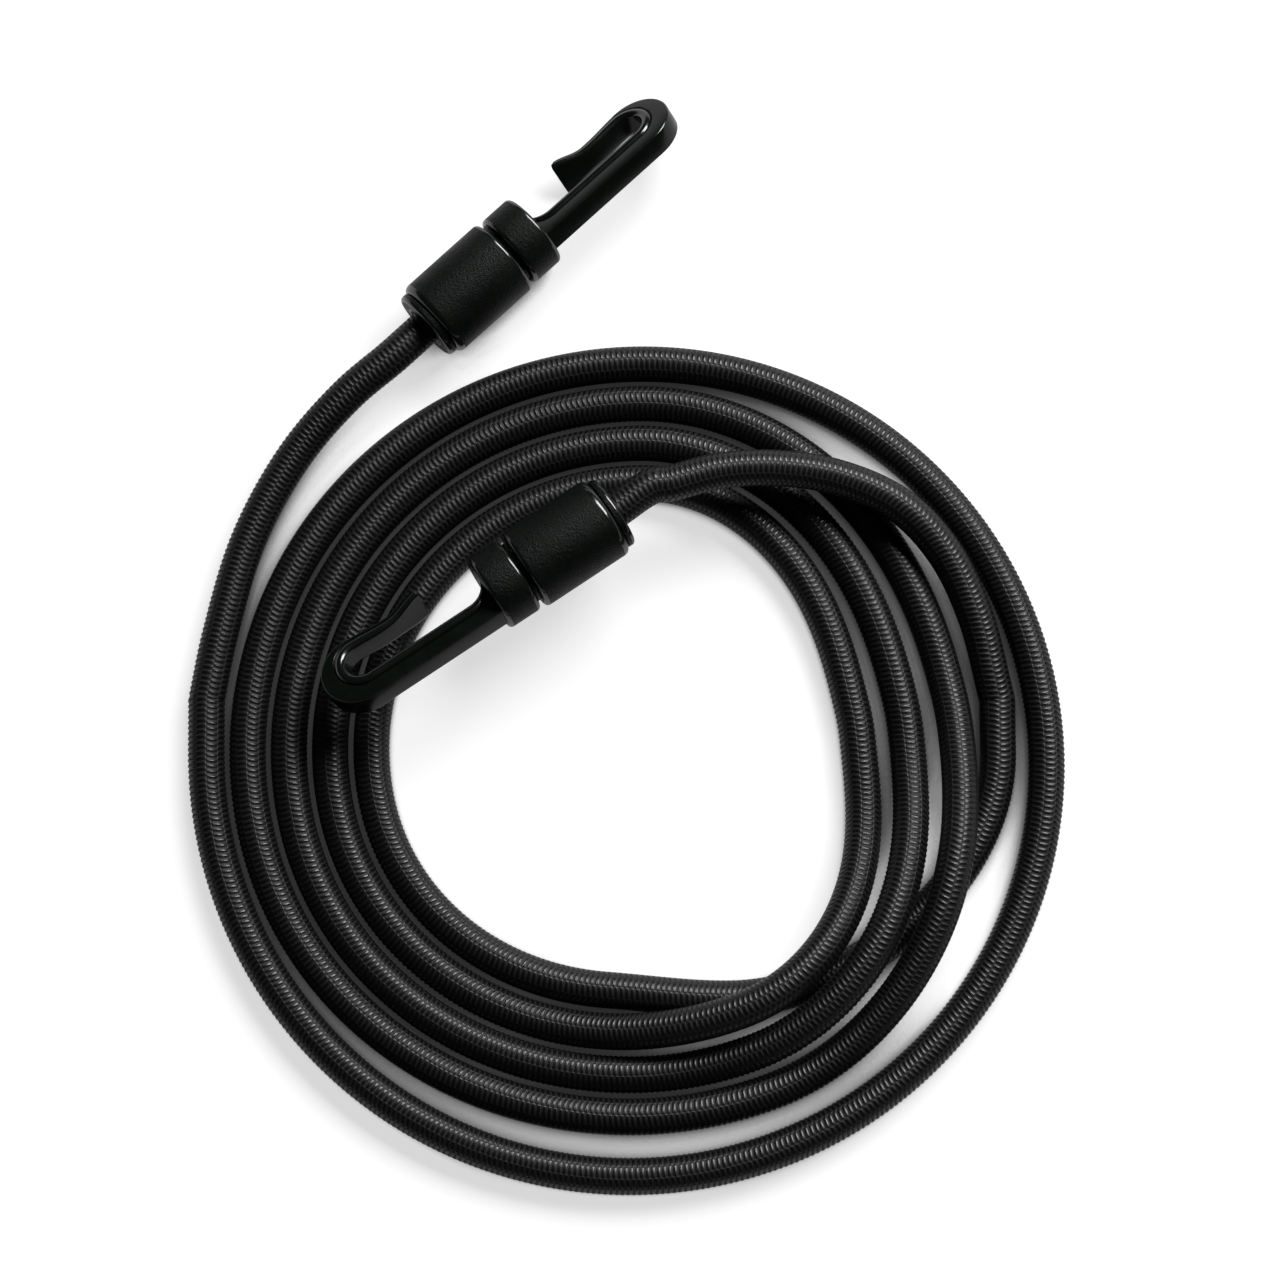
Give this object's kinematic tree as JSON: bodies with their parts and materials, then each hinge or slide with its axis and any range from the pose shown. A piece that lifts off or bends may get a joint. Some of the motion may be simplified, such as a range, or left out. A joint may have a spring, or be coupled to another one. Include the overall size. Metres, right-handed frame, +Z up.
{
  "type": "bungee cord",
  "caption": "Coiled round elastic cord with a braided sleeve and an open moulded swivel hook on a barrel fitting at each end.",
  "frame": {"origin": "on the plane the coil lies on, under the middle of the part's box", "axes": "+Z up from the plane the coil lies on; +X the way hook A points, along its swivel axis"},
  "size_m": [0.2462, 0.2516, 0.0333],
  "materials": {
    "braid": "black braided polyester sleeve",
    "core": "bundled natural rubber core",
    "hook_nylon": "black moulded nylon, satin",
    "barrel_nylon": "black moulded nylon, fine grain",
    "acetal": "black acetal",
    "steel": "zinc-plated steel",
    "ferrule": "soft aluminium, crimped"
  },
  "bodies": {
    "root": {"sleeve_coil": "braid", "sleeve_lead_a": "braid", "sleeve_lead_b": "braid", "core_coil": "core", "core_lead_a": "core", "core_lead_b": "core", "barrel_a": "barrel_nylon", "rear_cap_a": "barrel_nylon", "stop_washer_a": "steel", "crimp_ferrule_a": "ferrule", "barrel_b": "barrel_nylon", "rear_cap_b": "barrel_nylon", "stop_washer_b": "steel", "crimp_ferrule_b": "ferrule"},
    "hook_a": {"hook_a": "hook_nylon", "swivel_washer_a": "acetal", "swivel_clip_a": "steel"},
    "hook_b": {"hook_b": "hook_nylon", "swivel_washer_b": "acetal", "swivel_clip_b": "steel"}
  },
  "joints": [
    {"name": "hook_a_swivel", "type": "hinge", "parent": "root", "child": "hook_a", "pos_m": [0.06191, 0.11428, 0.0115], "axis": [1, 0, 0], "continuous": true},
    {"name": "hook_b_swivel", "type": "hinge", "parent": "root", "child": "hook_b", "pos_m": [0.00511, 0.04471, 0.0218], "axis": [-0.9874, 0.1582, 0], "continuous": true}
  ]
}
